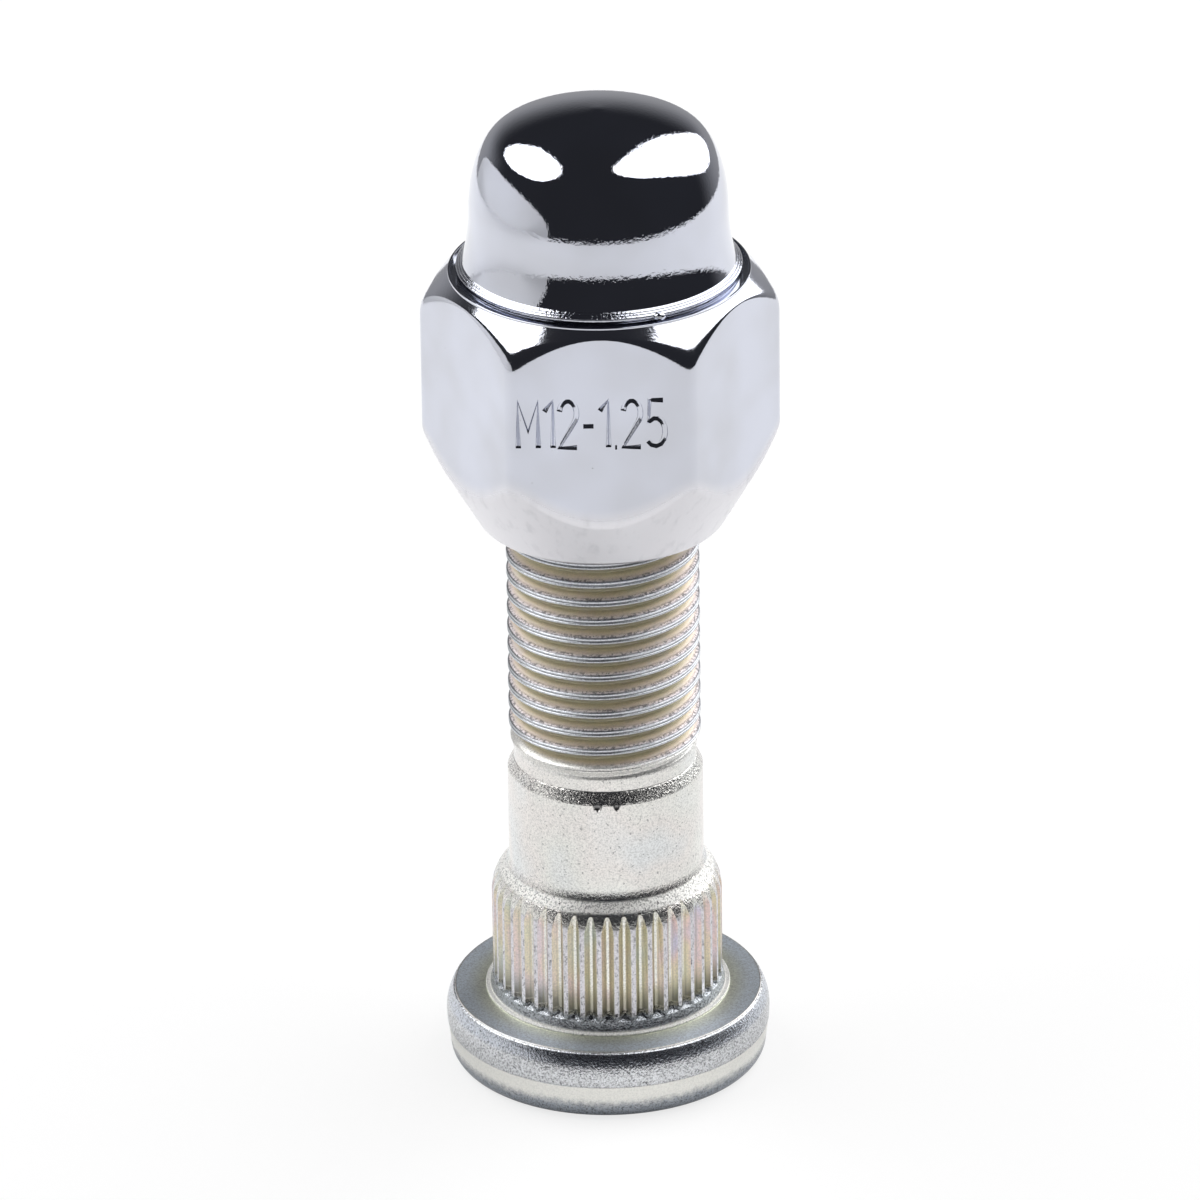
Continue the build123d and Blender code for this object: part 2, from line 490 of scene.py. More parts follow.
def hexColumns():  # angle and reach of each upright line round the rounded hexagon
    half = nut["acrossFlats"] / 2
    rounding = nut["cornerRounding"]
    centre = (half - rounding) / math.cos(math.pi / 6)
    edge = math.atan((half - rounding) * math.tan(math.pi / 6) / half)
    columns = []
    for side in range(6):
        corner = side * math.pi / 3
        for i in range(nut["cornerColumns"] + 1):
            lean = corner + math.pi / 3 * (i / nut["cornerColumns"] - 0.5)
            x = centre * math.cos(corner) + rounding * math.cos(lean)
            y = centre * math.sin(corner) + rounding * math.sin(lean)
            columns.append((math.atan2(y, x), math.hypot(x, y)))
        for i in range(1, nut["flatColumns"]):
            lean = edge * (2 * i / nut["flatColumns"] - 1)
            columns.append((corner + math.pi / 6 + lean, half / math.cos(lean)))
    return columns


def cornerReach():
    half = nut["acrossFlats"] / 2
    rounding = nut["cornerRounding"]
    return (half - rounding) / math.cos(math.pi / 6) + rounding


def nutColumn(foot, top, reach):  # outline in one upright half plane, foot to top
    n = nut
    seatRadius = n["footRadius"] + n["footEdge"]
    seatRise = (reach - seatRadius) / math.tan(math.radians(n["seatAngle"]))
    topFall = (reach - n["topRadius"]) * math.tan(math.radians(n["topAngle"]))
    flat = n["acrossFlats"] / 2
    outward = (reach - flat) / (cornerReach() - flat)
    topRounding = n["topRounding"] + (n["cornerTopRounding"] - n["topRounding"]) * outward
    return roundedRun(
        [
            (0, foot, 0),
            (n["footRadius"], foot, n["footRounding"]),
            (seatRadius, foot + n["footEdge"], n["footRounding"]),
            (reach, foot + n["footEdge"] + seatRise, n["seatRounding"]),
            (reach, top - topFall, topRounding),
            (n["topRadius"], top, n["lipHollow"]),
            (n["topRadius"], top + n["lipRise"], n["lipEdge"]),
            (n["topRadius"] - n["lip"], top + n["lipRise"], n["lipHollow"]),
            (n["topRadius"] - n["lip"], top - n["gapDip"], 0),
            (n["gapRadius"], top - n["gapDip"], 0),
            (n["gapRadius"], top, 0),
            (0, top, 0),
        ]
    )


def makeNut():
    foot = nutBox[0].z / mm
    top = nutBox[1].z / mm
    columns = hexColumns()
    outlines = [nutColumn(foot, top, reach) for angle, reach in columns]
    tube = [(nut["acrossFlats"], row) for row in range(len(outlines[0]))]
    piece = turnSection("nutShell", tube, len(columns))
    for vertex in piece.data.vertices:  # the spun tube drawn in to the hexagon, line by line
        turn = math.atan2(vertex.co.y, vertex.co.x) / math.tau
        index = round(turn * len(columns)) % len(columns)
        radius, height = outlines[index][round(vertex.co.z / mm)]
        angle = columns[index][0]
        vertex.co = (radius * math.cos(angle) * mm, radius * math.sin(angle) * mm, height * mm)
    pick(piece)
    bpy.ops.object.mode_set(mode="EDIT")
    closeUp()
    bpy.ops.object.mode_set(mode="OBJECT")
    run = threadRun(nut["boreRadius"], nut["tapRadius"], nut["tapCrest"], 0.0)
    firstRoot = firstRootAt(foot - nut["tapLead"])
    turns = math.ceil((top + nut["tapLead"] - firstRoot) / thread["pitch"])
    tap = screwRod("nutTap", run, thread["pitch"], firstRoot, turns, nut["tapSteps"])
    trim(tap, foot - nut["overcut"], above=False, fill=True)
    trim(tap, top + nut["overcut"], above=True, fill=True)
    carve(piece, tap, "DIFFERENCE")
    mouth = turnSection("nutMouth", mouthOutline(foot), nut["steps"])
    carve(piece, mouth, "DIFFERENCE")
    return piece


def mouthOutline(foot):
    over = nut["overcut"]
    deep = nut["mouthRadius"] - nut["boreRadius"] + nut["mouthDeepen"]
    wide = nut["mouthRadius"] + over
    return [(0, foot - over), (wide, foot - over), (wide - over - deep, foot + deep), (0, foot + deep)]


# Thread size stamped in one flat, each figure as strokes in a box one unit high
mark = {
    "height": 3.05,
    "narrow": 0.63,  # figures are drawn in by this much
    "gap": 0.2,
    "left": -4.95,
    "foot": 45.35,
    "tool": 0.19,  # radius of the round stamping edge
    "toolSteps": 2,
    "proud": 0.06,  # its centre stays this far outside the flat
    "text": "M12-1.25",
}
figures = {
    "M": (0.62, [[(0, 0), (0, 1), (0.31, 0.35), (0.62, 1), (0.62, 0)]]),
    "1": (0.26, [[(0, 0.78), (0.26, 1), (0.26, 0)]]),
    "2": (0.54, [arcRun((0.27, 0.73), 0.27, 170, -35, 9) + [(0, 0), (0.54, 0)]]),
    "5": (0.54, [[(0.5, 1), (0.08, 1), (0.05, 0.55)] + arcRun((0.26, 0.32), 0.3, 128, -140, 10)]),
    "-": (0.32, [[(0, 0.46), (0.32, 0.46)]]),
    ".": (0.06, [[(0, 0), (0.06, 0)]]),
}


def makeMark():
    strokes = []
    across = mark["left"]
    wide = mark["height"] * mark["narrow"]
    for figure in mark["text"]:
        width, runs = figures[figure]
        for run in runs:
            points = [(across + x * wide, mark["foot"] + y * mark["height"]) for x, y in run]
            stroke = drawSection("markStroke", points)
            bpy.ops.object.mode_set(mode="OBJECT")
            bpy.ops.object.convert(target="CURVE")
            stroke.data.bevel_depth = mark["tool"] * mm
            stroke.data.bevel_resolution = mark["toolSteps"]
            stroke.data.use_fill_caps = True
            bpy.ops.object.convert(target="MESH")
            strokes.append(bpy.context.object)
        across += (width + mark["gap"]) * wide
    pick(strokes[0])
    for stroke in strokes:
        stroke.select_set(True)
    bpy.ops.object.join()
    bpy.ops.object.mode_set(mode="EDIT")
    bpy.ops.mesh.select_all(action="SELECT")
    bpy.ops.transform.translate(value=(0, -(nut["acrossFlats"] / 2 + mark["proud"]) * mm, 0))
    closeUp()
    bpy.ops.object.mode_set(mode="OBJECT")
    return bpy.context.object


# Cap: drawn sheet with a flange on the nut's top face
cap = {
    "steps": 192,
    "sheet": 0.8,
    "flangeRadius": 8.63,
    "flangeHeight": 0.58,
    "flangeUndercut": 0.18,
    "seatEdge": 0.05,
    "flangeEdge": 0.06,
    "wallRadius": 7.88,
    "wallHeight": 4.1,
    "flare": 12.8,  # the wall's foot leans out to the flange
    "flareEnd": 15.0,
    "flareSteps": 14,
    "flangeLift": 0.2,  # the flange slopes up to the wall
    "flangeFall": 0.32,
    "turned": 0.025,  # depth of the fine lines turned in the flange
    "turnedAt": (0.3, 0.62),
    "turnedHalf": 0.07,
    "turnedEdge": 0.015,
    "flash": (3.53, -7.9, 53.13),  # small burr on the flange
    "flashSize": (0.4, 0.26, 0.26),
    "draft": 1.2,
    "shoulder": 8.0,
    "shoulderEnd": 27.5,
    "shoulderSteps": 14,
    "corner": 2.4,
    "cornerEnd": 67.0,
    "cornerSteps": 7,
    "crownSteps": 18,
    "flow": 14,  # passes that ease one arc into the next
    "sharp": 30,  # degrees
}


def capArcs(inset, wallTop):
    c = cap
    draft = math.radians(c["draft"])
    end = math.radians(c["shoulderEnd"])
    cornerEnd = math.radians(c["cornerEnd"])
    topRadius = c["wallRadius"] - c["wallHeight"] * math.tan(draft)
    shoulder = (topRadius - c["shoulder"] * math.cos(draft), wallTop - c["shoulder"] * math.sin(draft))
    inner = c["shoulder"] - c["corner"]
    corner = (shoulder[0] + inner * math.cos(end), shoulder[1] + inner * math.sin(end))
    crown = corner[0] / math.cos(cornerEnd)
    middle = (0, corner[1] - crown * math.sin(cornerEnd))
    run = arcRun(shoulder, c["shoulder"] - inset, c["draft"], c["shoulderEnd"], c["shoulderSteps"])
    run += arcRun(corner, c["corner"] - inset, c["shoulderEnd"], c["cornerEnd"], c["cornerSteps"])[1:]
    run += arcRun(middle, crown + c["corner"] - inset, c["cornerEnd"], 90, c["crownSteps"])[1:]
    for i in range(c["flow"]):
        inside = zip(run, run[1:], run[2:])
        eased = [((a[0] + 2 * b[0] + e[0]) / 4, (a[1] + 2 * b[1] + e[1]) / 4) for a, b, e in inside]
        run = [run[0]] + eased + [run[-1]]
    return run


def makeCap():
    c = cap
    seat = capBox[0].z / mm
    flangeTop = seat + c["flangeHeight"]
    outer = capArcs(0, flangeTop + c["wallHeight"])
    inner = capArcs(c["sheet"], flangeTop + c["wallHeight"])
    hollow = c["wallRadius"] - c["sheet"] / math.cos(math.radians(c["draft"]))
    draft = math.radians(c["draft"])
    lean = math.radians(c["flareEnd"])
    rise = c["flare"] * (math.sin(lean) - math.sin(draft))
    wallFoot = c["wallRadius"] - rise * math.tan(draft)
    flareFoot = flangeTop + c["flangeLift"]
    middle = (wallFoot + c["flare"] * math.cos(draft), flareFoot + rise + c["flare"] * math.sin(draft))
    flare = arcRun(middle, c["flare"], 180 + c["flareEnd"], 180 + c["draft"], c["flareSteps"])
    under = c["flangeUndercut"]
    edge = c["flangeRadius"]
    flangeLip = Vector((edge, flareFoot - c["flangeFall"]))
    slope = Vector(flare[0]) - flangeLip
    inward = Vector((-slope.y, slope.x)).normalized() * c["turned"]
    lines = []
    for share in c["turnedAt"]:
        lines.append((*(flangeLip + slope * (share - c["turnedHalf"])), c["turnedEdge"]))
        lines.append((*(flangeLip + slope * share + inward), c["turnedEdge"]))
        lines.append((*(flangeLip + slope * (share + c["turnedHalf"])), c["turnedEdge"]))
    rim = roundedRun(
        [
            (*inner[0], 0),
            (hollow, seat, 0),
            (edge - under, seat, c["seatEdge"]),
            (edge, seat + under, c["flangeEdge"]),
            (*flangeLip, c["flangeEdge"]),
            *lines,
            (*flare[0], 0),
        ]
    )
    skirt = rim[:-1] + flare + [outer[0]]
    piece = turnSection("capShell", inner[:0:-1] + skirt + outer[1:], c["steps"])
    carve(piece, makeDots("capFlash", [(c["flash"], c["flashSize"])]), "UNION")
    smoothFaces(piece, c["sharp"])
    return piece


# Finishes
class Wire:  # one socket of a material, with arithmetic
    def __init__(self, tree, socket):
        self.tree = tree
        self.socket = socket

    def node(self, kind, settings, inputs, output=0):
        made = self.tree.nodes.new(kind)
        for key, value in settings.items():
            if key == "stops":
                setStops(made.color_ramp, value)
            else:
                setattr(made, key, value)
        for key, value in inputs.items():
            if isinstance(value, Wire):
                self.tree.links.new(value.socket, made.inputs[key])
            else:
                made.inputs[key].default_value = value
        return Wire(self.tree, made.outputs[output])

    def maths(self, operation, first, second):
        return self.node("ShaderNodeMath", {"operation": operation}, {0: first, 1: second})

    def __add__(self, other):
        return self.maths("ADD", self, other)

    def __radd__(self, other):
        return self.maths("ADD", other, self)

    def __sub__(self, other):
        return self.maths("SUBTRACT", self, other)

    def __rsub__(self, other):
        return self.maths("SUBTRACT", other, self)

    def __mul__(self, other):
        return self.maths("MULTIPLY", self, other)

    def __rmul__(self, other):
        return self.maths("MULTIPLY", other, self)

    def one(self, operation):
        return self.node("ShaderNodeMath", {"operation": operation}, {0: self})

    def ramp(self, stops):
        return self.node("ShaderNodeValToRGB", {"stops": stops}, {0: self})

    def rise(self, low, high):  # smooth step from 0 to 1
        inputs = {0: self, 1: low, 2: high, 3: 0.0, 4: 1.0}
        return self.node("ShaderNodeMapRange", {"interpolation_type": "SMOOTHSTEP"}, inputs)

    def between(self, low, high, soft):
        return self.rise(low - soft, low + soft) * (1 - self.rise(high - soft, high + soft))

    def blend(self, first, second):  # this value mixes two colours
        inputs = {0: self, 6: first, 7: second}
        return self.node("ShaderNodeMix", {"data_type": "RGBA"}, inputs, output=2)

    def noise(self, scale, detail=2.0, rough=0.5):
        inputs = {"Vector": self, "Scale": scale, "Detail": detail, "Roughness": rough}
        return self.node("ShaderNodeTexNoise", {}, inputs)

    def stretch(self, x, y, z):
        return self.node("ShaderNodeMapping", {}, {"Vector": self, "Scale": (x, y, z)})

    def bump(self, depth):  # depth in millimetres
        inputs = {"Strength": 1.0, "Distance": depth * mm, "Height": self}
        return self.node("ShaderNodeBump", {}, inputs)


def setStops(ramp, stops):
    while len(ramp.elements) > 1:
        ramp.elements.remove(ramp.elements[-1])
    ramp.elements[0].position, ramp.elements[0].color = stops[0]
    for position, colour in stops[1:]:
        ramp.elements.new(position).color = colour


def tint(red, green, blue):  # display colour to the linear one that Blender works in
    def linear(level):
        level = level / 255
        return level / 12.92 if level <= 0.04045 else ((level + 0.055) / 1.055) ** 2.4

    return (linear(red), linear(green), linear(blue), 1.0)


def newFinish(name):
    finish = bpy.data.materials.new(name)
    finish.use_nodes = True
    tree = finish.node_tree
    shader = next(node for node in tree.nodes if node.type == "BSDF_PRINCIPLED")
    shader.inputs["Metallic"].default_value = 1.0
    coordinates = tree.nodes.new("ShaderNodeTexCoord")
    return finish, shader, Wire(tree, coordinates.outputs["Object"])


def feed(shader, name, wire):
    wire.tree.links.new(wire.socket, shader.inputs[name])


def turnedPlace(place):  # x, y, height and radius from the stud's axis
    x = place.node("ShaderNodeSeparateXYZ", {}, {0: place}, output=0)
    y = place.node("ShaderNodeSeparateXYZ", {}, {0: place}, output=1)
    height = place.node("ShaderNodeSeparateXYZ", {}, {0: place}, output=2)
    radius = (x * x + y * y).one("SQRT")
    return x, y, height, radius


zincPlate = {
    "plate": [  # faint drift of the passivated zinc
        (0.30, tint(230, 233, 234)),
        (0.44, tint(235, 235, 230)),
        (0.56, tint(236, 232, 228)),
        (0.70, tint(231, 233, 233)),
    ],
    "cream": tint(243, 242, 236),
    # ring: painted highlight, near white, on the lead-in ring, the foot bead and the thread's run-out
    # band
    "ring": tint(251, 250, 246),
    "steel": tint(225, 227, 230),
    # painted reflection: darker, bluer colour on the upper part of the rim, which faces the dim room
    "rimTopShade": tint(178, 191, 214),
    # painted shade: darker, bluer colour for the heel that curves under towards the floor, and for the
    # concave flare at the collar's foot
    "shadedHeel": tint(150, 157, 166),
    "crest": tint(226, 224, 229),
    "faceGrey": tint(226, 235, 244),
    "faceOlive": tint(222, 225, 209),
    "grain": tint(150, 150, 149),
    "pit": tint(66, 67, 71),
    "thread": [  # along one pitch, from root over the crest to the next root: the zinc's olive, tan and pink tints, with painted shade as darker olive towards the roots and as dark lines either side of the crest and along its fold
        (0.00, tint(164, 159, 134)),
        (0.05, tint(184, 179, 156)),
        (0.28, tint(206, 203, 188)),
        (0.335, tint(98, 100, 104)),
        (0.37, tint(206, 209, 214)),
        (0.455, tint(206, 209, 214)),
        (0.50, tint(100, 102, 106)),
        (0.545, tint(206, 209, 214)),
        (0.63, tint(206, 209, 214)),
        (0.66, tint(108, 108, 112)),
        (0.69, tint(228, 221, 224)),
        (0.76, tint(246, 233, 228)),
        (0.85, tint(248, 236, 214)),
        (0.92, tint(228, 221, 197)),
        (0.955, tint(198, 191, 162)),
        (1.00, tint(164, 159, 134)),
    ],
    "groove": [
        (0.30, tint(196, 206, 200)),
        (0.40, tint(208, 203, 170)),
        (0.50, tint(220, 205, 178)),
        (0.58, tint(222, 198, 194)),
        (0.68, tint(200, 196, 214)),
        (0.76, tint(184, 206, 202)),
    ],
    # grooveLine: painted highlight along the floors of the collar's grooves; the same pale colour also
    # lightens their upper ends
    "grooveLine": tint(244, 244, 236),
    "grooveShade": tint(132, 129, 108),
    "zones": {  # heights in millimetres: from, to and soft edge
        "runOut": (21.2, 22.3, 0.1),
        "neckCone": (19.7, 20.4, 0.08),
        "nicked": (19.2, 19.8, 0.05),
        "shoulder": (11.6, 13.7, 0.2),
        "leadIn": (12.62, 13.2, 0.1),
        "collar": (5.7, 12.7, 0.1),
        "grooveLine": (7.4, 11.9, 0.6),
        "flare": (4.85, 5.95, 0.1),
        "bead": (4.66, 4.82, 0.03),
        "face": (4.54, 4.68, 0.03),
        "rimTopShade": (3.75, 4.46, 0.2),
        "rim": (2.36, 4.52, 0.05),
        "sunken": (6.785, 6.87, 0.02),  # radii in the grooves
    },
    "rises": {  # heights in millimetres over which each of these comes in
        "threaded": (22.1, 22.4),
        "grooveTips": (11.5, 12.2),
        "grooveLight": (5.9, 8.0),
        "pastBand": (2.25, 2.35),
        "bandFoot": (0.75, 1.5),
        "pastHeel": (0.7, 1.6),
    },
    "spreads": {  # radii in millimetres over which each of these comes in
        "pastBead": (7.6, 7.7),
        "pastFace": (9.38, 9.46),
        "faceOuter": (7.6, 9.0),
        "crestTop": (7.0, 7.06),
        "pastGrooveLine": (6.745, 6.762),
    },
    "noises": {  # scale, detail and roughness
        "grain": (7000.0, 2.0, 0.6),
        "drift": (200.0, 1.0),
        "fleck": (5600.0, 1.0),
        "speckle": (8200.0, 2.0, 0.65),
        "fine": (9000.0, 3.0, 0.7),
        "pits": (2700.0, 3.0, 0.7),
        "flake": (5000.0, 2.0, 0.65),
        "dents": (5200.0, 2.0, 0.6),
        "ragged": (2600.0, 2.0),
        "sheen": (560.0, 2.0),
    },
    "spots": {  # noise levels over which each of these comes in
        "fleck": (0.66, 0.74),
        "speckle": (0.47, 0.64),
        "fine": (0.36, 0.60),
        "pits": (0.69, 0.73),
        "flake": (0.47, 0.6),
        "dents": (0.55, 0.66),
    },
    "phases": {  # shares of one pitch: from, to and soft edge
        "offFlank": (0.31, 0.67, 0.02),
        "flankTop": (0.65, 0.75, 0.035),
        "ridge": (0.35, 0.65, 0.02),
    },
    "notch": {"drop": 1.1, "slope": 0.62, "soft": (-0.05, 0.04)},
    "grooveSoft": 0.03,  # millimetres
    "raggedness": 0.5,  # millimetres
    "bump": 0.03,  # millimetres
}


def zincFinish():
    z = zincPlate
    finish, shader, place = newFinish("zincPlate")
    x, y, height, radius = turnedPlace(place)

    def zone(name, along=height):
        low, high, soft = z["zones"][name]
        return along.between(low * mm, high * mm, soft * mm)

    def onset(along, group, name):
        low, high = z[group][name]
        return along.rise(low * mm, high * mm)

    def spots(name, where=place):
        return where.noise(*noises[name]).rise(*z["spots"][name])

    noises = z["noises"]
    phases = z["phases"]
    grain = place.noise(*noises["grain"])
    drift = place.noise(*noises["drift"])
    fleck = spots("fleck")
    speckle = spots("speckle")
    fine = 1 - spots("fine")
    pits = spots("pits")
    flake = spots("flake")
    dents = spots("dents", place.stretch(1, 1, 0.5))
    ragged = height + (place.noise(*noises["ragged"]) - 0.5) * (z["raggedness"] * mm)

    turn = y.maths("ARCTAN2", y, x) * (1 / math.tau)
    rootOverX = (thread["frontCrest"] - thread["pitch"] / 4) * mm
    phase = ((height - rootOverX) * (1 / (thread["pitch"] * mm)) - turn).one("FRACT")
    threaded = onset(height, "rises", "threaded")
    flank = threaded * (1 - phase.between(*phases["offFlank"]))
    flankTop = threaded * phase.between(*phases["flankTop"])
    ridge = threaded * phase.between(*phases["ridge"])
    runOut = zone("runOut")
    nicked = zone("nicked") * (1 - y.rise(-1.0 * mm, 0.0))  # front half
    notches = 0.0
    notch = z["notch"]
    inside, outside = notch["soft"]
    for middle, size in stud["nicks"]:  # each dark notch narrows downwards
        reach = (height - (middle[2] - size[2] * notch["drop"]) * mm) * notch["slope"]
        beyond = (x - middle[0] * mm).one("ABSOLUTE") - reach
        notches = notches + (1 - beyond.rise(inside * mm, outside * mm))
    neckCone = zone("neckCone")
    leadIn = zone("leadIn")
    shoulder = zone("shoulder")
    collar = zone("collar")
    share = ((turn * spline["count"]).one("FRACT") - 0.5).one("ABSOLUTE")
    aside = share * radius * (math.tau / spline["count"])
    (low, lowHalf), (high, highHalf) = grooveSide()[1:]
    grooveRoot = stud["crestRadius"] - spline["depth"]
    widening = (highHalf - lowHalf) / (high - low)
    grooveHalf = (radius - (grooveRoot + low) * mm) * widening + lowHalf * mm
    inGroove = 1 - (aside - grooveHalf).rise(0.0, z["grooveSoft"] * mm)
    groove = collar * inGroove
    crest = collar * (1 - inGroove) * onset(radius, "spreads", "crestTop")
    flare = zone("flare")
    bead = zone("bead") * (1 - onset(radius, "spreads", "pastBead"))
    face = zone("face") * (1 - onset(radius, "spreads", "pastFace"))
    rim = zone("rim")
    rimTopShade = zone("rimTopShade")
    band = onset(ragged, "rises", "bandFoot") * (1 - onset(height, "rises", "pastBand"))
    shadedHeel = 1 - onset(ragged, "rises", "pastHeel")
    rough = rim + neckCone * 1.2 + shoulder * 0.6 + flare + shadedHeel

    sheen = place.stretch(1, 1, 0.4).noise(*noises["sheen"])
    rolled = sheen.ramp(z["groove"])
    sunken = zone("sunken", radius) * 0.34
    shaded = 0.85 * (1 - onset(height, "rises", "grooveLight"))
    rolled = (sunken + shaded).blend(rolled, z["grooveShade"])
    # painted highlight along the groove floors, and lighter towards the grooves' upper ends
    line = (1 - onset(radius, "spreads", "pastGrooveLine")) * zone("grooveLine")
    tips = onset(height, "rises", "grooveTips") * 0.7
    rolled = (line + tips).blend(rolled, z["grooveLine"])

    base = drift.ramp(z["plate"])
    base = band.blend(base, z["cream"])
    base = rim.blend(base, z["steel"])
    # painted dark bluish reflection on the rim's upper band
    base = (rimTopShade * 0.35).blend(base, z["rimTopShade"])
    # painted shade on the heel and, at 0.8, in the concave flare at the collar's foot
    base = (shadedHeel + flare * 0.8).blend(base, z["shadedHeel"])
    bearing = onset(radius, "spreads", "faceOuter").blend(z["faceOlive"], z["faceGrey"])
    base = face.blend(base, bearing)
    # painted highlight: lead-in ring, foot bead and run-out band made near white
    base = (leadIn + bead + runOut * 0.6).blend(base, z["ring"])
    base = crest.blend(base, z["crest"])
    # the pitch ramp paints shade into the thread's roots, and beside and along its crests
    base = threaded.blend(base, phase.ramp(z["thread"]))
    base = (flank * phase.rise(0.7, 0.8) * 0.2).blend(base, sheen.ramp(z["groove"]))
    base = (groove * (0.8 + 0.2 * x.rise(0.0, 6 * mm))).blend(base, rolled)
    base = (fine * (0.42 - 0.27 * threaded - 0.24 * band - 0.32 * leadIn)).blend(base, z["grain"])
    plain = (1 - threaded) * (1 - groove) * (1 - band) * (1 - face)
    dark = (fleck * 0.5 + pits * 0.6) * plain + dents * crest * 0.5
    speckled = rough * 0.58 + flare * 0.25 + leadIn * 0.28 + ridge * 0.3 + runOut * 0.15 + face * 0.14
    dark = dark + speckle * speckled
    base = (dark + flake * flankTop * 0.65 + nicked * notches * 0.75).blend(base, z["pit"])
    feed(shader, "Base Color", base)

    # the painted-highlight rings are also made less metallic, so that they stay bright whatever they
    # face
    pale = leadIn + bead
    gloss = 0.28 + 0.16 * face - 0.04 * rough + 0.08 * crest + 0.26 * flank + 0.2 * pale + 0.06 * runOut
    feed(shader, "Roughness", gloss)
    feed(shader, "Metallic", 1 - 0.6 * pale - 0.2 * flank - 0.35 * runOut - 0.06 * face)

    amount = 0.28 + 1.4 * rough + 0.9 * crest + 1.6 * flankTop + 0.5 * ridge + 0.4 * runOut
    amount = amount - 0.1 * groove - 0.9 * rimTopShade
    feed(shader, "Normal", (grain * amount - fleck * plain * 0.15).bump(z["bump"]))
    return finish


chromePlate = {
    "bright": tint(206, 209, 220),
    "cloudy": tint(196, 198, 206),
    "seat": tint(218, 217, 221),
    "scuff": tint(168, 169, 174),
    "ring": (0.42, 0.82, 0.04),  # grainy ring on the flange: heights over its seat, soft edge
    "ringRadius": (8.24, 8.3),
    "seatDepth": 0.7,
    "seatTop": (5, 7),  # over the nut's foot
    "noises": {  # scale, detail and roughness
        "cloud": (170.0, 2.0),
        "streak": (1500.0, 3.0),
        "peel": (5200.0, 2.0, 0.6),
        "scuff": (3400.0, 2.0, 0.6),
    },
    "bump": 0.006,  # millimetres
}


def chromeFinish():
    c = chromePlate
    finish, shader, place = newFinish("chromePlate")
    height, radius = turnedPlace(place)[2:]
    foot = nutBox[0].z + nut["footEdge"] * mm
    slope = math.tan(math.radians(nut["seatAngle"]))
    cone = (nut["footRadius"] + nut["footEdge"]) * mm + (height - foot) * slope
    seatEnd, seatGone = c["seatTop"]
    seat = (radius - cone).rise(-c["seatDepth"] * mm, 0.0)
    seat = seat * (1 - height.rise(foot + seatEnd * mm, foot + seatGone * mm))
    domed = height.rise(capBox[0].z, capBox[0].z + 0.1 * mm)

    noises = c["noises"]
    cloud = place.noise(*noises["cloud"])
    streak = place.stretch(1, 1, 0.25).noise(*noises["streak"])
    peel = place.noise(*noises["peel"])
    ringFoot, ringTop, soft = c["ring"]
    ringOn = height.between(capBox[0].z + ringFoot * mm, capBox[0].z + ringTop * mm, soft * mm)
    ring = radius.rise(c["ringRadius"][0] * mm, c["ringRadius"][1] * mm) * ringOn
    scuff = place.noise(*noises["scuff"]).rise(0.76, 0.80) * (1 - domed)
    base = cloud.rise(0.3, 0.7).blend(c["bright"], c["cloudy"])
    base = seat.blend(base, c["seat"])
    base = (scuff * 0.6 + seat * streak.rise(0.5, 0.8) * 0.3).blend(base, c["scuff"])
    feed(shader, "Base Color", base)
    feed(shader, "Roughness", 0.1 - 0.08 * domed + 0.22 * seat)
    lumps = peel * 0.7 + seat * streak * 2 + ring * peel * 4 - scuff
    feed(shader, "Normal", lumps.bump(c["bump"]))
    return finish


# Put together
zinc = zincFinish()
chrome = chromeFinish()


def fit(piece, finish, body, node):
    piece.data.materials.clear()
    piece.data.materials.append(finish)
    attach(piece, body)
    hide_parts(node)
    print(piece.name, "made,", len(piece.data.polygons), "faces")


fit(makeStud(), zinc, "stud", "wheel_stud")
nutPiece = makeNut()
carve(nutPiece, makeMark(), "DIFFERENCE")
dropSlivers(nutPiece)
smoothFaces(nutPiece, nut["sharp"], weighted=True)
fit(nutPiece, chrome, "nut", "nut_body")
fit(makeCap(), chrome, "nut", "dome_cap")


# Studio: pale floor, white card, two soft boxes and a dim room. Lengths in metres.
studio = {
    "roundSteps": 96,
    "floorRadius": 0.27,
    "floorDrop": 0.02 * mm,
    "floorColour": tint(244, 244, 244),
    "seenGlow": 0.78,
    "mirroredGlow": 0.2,
    "room": (0.026, 0.027, 0.032, 1.0),
    "sweep": (0.36, 0.36, 0.37, 1.0),  # paper that rises behind the part
    "sweepTurn": (0.2, 0.9),
    "sweepTop": (0.0, 0.5),
    "card": {"place": (-0.25, 0.03, 0.0), "reach": (0.29, 0.112)},  # oval, on the left
    "leftBox": {
        "centre": (-0.485, 0.123, 0.624),
        "across": (0.188, 0.980, -0.058),
        "rise": (-0.774, 0.112, -0.624),
        "size": (0.99, 0.58),
        "power": 5.0,
    },
    "rightBox": {
        "centre": (0.503, 0.171, 0.627),
        "across": (-0.183, -0.728, 0.661),
        "rise": (0.725, -0.554, -0.410),
        "size": (1.62, 0.90),
        "power": 9.8,
    },
}


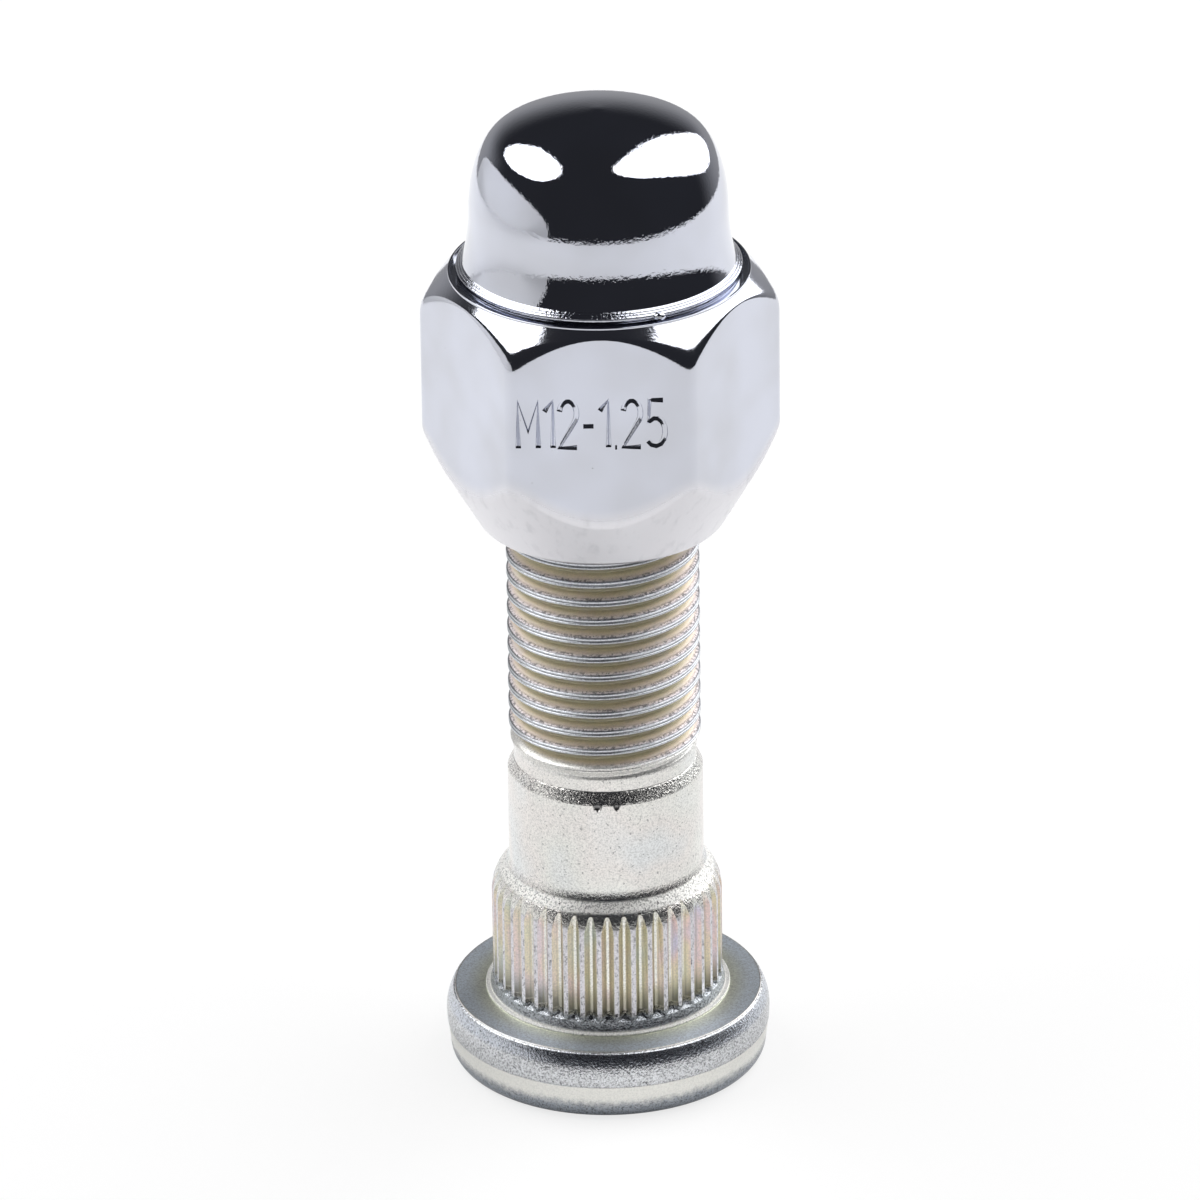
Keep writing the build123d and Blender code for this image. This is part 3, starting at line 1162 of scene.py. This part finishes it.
def makeFloor():
    bpy.ops.object.select_all(action="DESELECT")
    bpy.ops.mesh.primitive_circle_add(
        vertices=studio["roundSteps"],
        radius=studio["floorRadius"],
        fill_type="NGON",
        location=(0, 0, -studio["floorDrop"]),
    )
    floor = bpy.context.object
    floor.name = "floor"
    finish = bpy.data.materials.new("paleFloor")
    finish.use_nodes = True
    tree = finish.node_tree
    tree.nodes.clear()
    path = tree.nodes.new("ShaderNodeLightPath")
    seen = Wire(tree, path.outputs["Is Camera Ray"])
    mirrored = Wire(tree, path.outputs["Is Glossy Ray"])
    plain = seen.node("ShaderNodeBsdfDiffuse", {}, {"Color": studio["floorColour"]})
    glow = seen.node("ShaderNodeEmission", {}, {"Strength": 1.0})
    share = seen * studio["seenGlow"] + mirrored * studio["mirroredGlow"]
    mixed = seen.node("ShaderNodeMixShader", {}, {0: share, 1: plain, 2: glow})
    output = tree.nodes.new("ShaderNodeOutputMaterial")
    tree.links.new(mixed.socket, output.inputs["Surface"])
    floor.data.materials.append(finish)
    return finish


def makeCard(finish):
    bpy.ops.object.select_all(action="DESELECT")
    bpy.ops.mesh.primitive_circle_add(
        vertices=studio["roundSteps"],
        radius=1,
        fill_type="NGON",
        location=studio["card"]["place"],
        rotation=(math.pi / 2, 0, math.pi / 2),
    )
    card = bpy.context.object
    card.name = "card"
    card.scale = (*studio["card"]["reach"], 1)
    card.visible_camera = False
    card.data.materials.append(finish)


def makeRoom():
    world = bpy.data.worlds.new("room")
    bpy.context.scene.world = world
    world.use_nodes = True
    tree = world.node_tree
    tree.nodes.clear()
    path = tree.nodes.new("ShaderNodeLightPath")
    seen = Wire(tree, path.outputs["Is Camera Ray"])
    coordinates = tree.nodes.new("ShaderNodeTexCoord")
    way = Wire(tree, coordinates.outputs["Generated"])
    behind = way.node("ShaderNodeSeparateXYZ", {}, {0: way}, output=1)
    upward = way.node("ShaderNodeSeparateXYZ", {}, {0: way}, output=2)
    paper = behind.rise(*studio["sweepTurn"]) * (1 - upward.rise(*studio["sweepTop"]))
    colour = paper.blend(studio["room"], studio["sweep"])
    dim = seen.node("ShaderNodeBackground", {}, {"Color": colour, "Strength": 1.0})
    white = seen.node("ShaderNodeBackground", {}, {"Color": (1, 1, 1, 1), "Strength": 1.0})
    mixed = seen.node("ShaderNodeMixShader", {}, {0: seen, 1: dim, 2: white})
    output = tree.nodes.new("ShaderNodeOutputWorld")
    tree.links.new(mixed.socket, output.inputs["Surface"])


def makeSoftBox(name):
    box = studio[name]
    across = Vector(box["across"]).normalized()
    facing = across.cross(Vector(box["rise"])).normalized()
    upward = facing.cross(across)
    bpy.ops.object.light_add(type="AREA", location=box["centre"])
    lamp = bpy.context.object
    lamp.name = name
    lamp.data.shape = "ELLIPSE"
    lamp.data.size, lamp.data.size_y = box["size"]
    lamp.data.energy = box["power"]
    lamp.rotation_euler = Matrix((across, upward, facing)).transposed().to_euler()
    lamp.visible_camera = False


makeCard(makeFloor())
makeRoom()
makeSoftBox("leftBox")
makeSoftBox("rightBox")
bpy.context.scene.view_settings.view_transform = "Standard"

view = {
    "distance": 0.640,
    "elevation": 25.5,
    "aimHeight": 30.75 * mm,
    "aimAside": -0.2 * mm,
    "roll": 0.72,
    "sensor": 36,
    "lens": 314.88,
}


def makeCamera():
    elevation = math.radians(view["elevation"])
    place = (
        view["aimAside"],
        -view["distance"] * math.cos(elevation),
        view["aimHeight"] + view["distance"] * math.sin(elevation),
    )
    bpy.ops.object.camera_add(location=place)
    camera = bpy.context.object
    camera.data.sensor_width = view["sensor"]
    camera.data.lens = view["lens"]
    camera.rotation_euler = (math.pi / 2 - elevation, 0, 0)
    camera.rotation_euler.rotate_axis("Z", -math.radians(view["roll"]))
    bpy.context.scene.camera = camera


makeCamera()
print("studio and camera set")
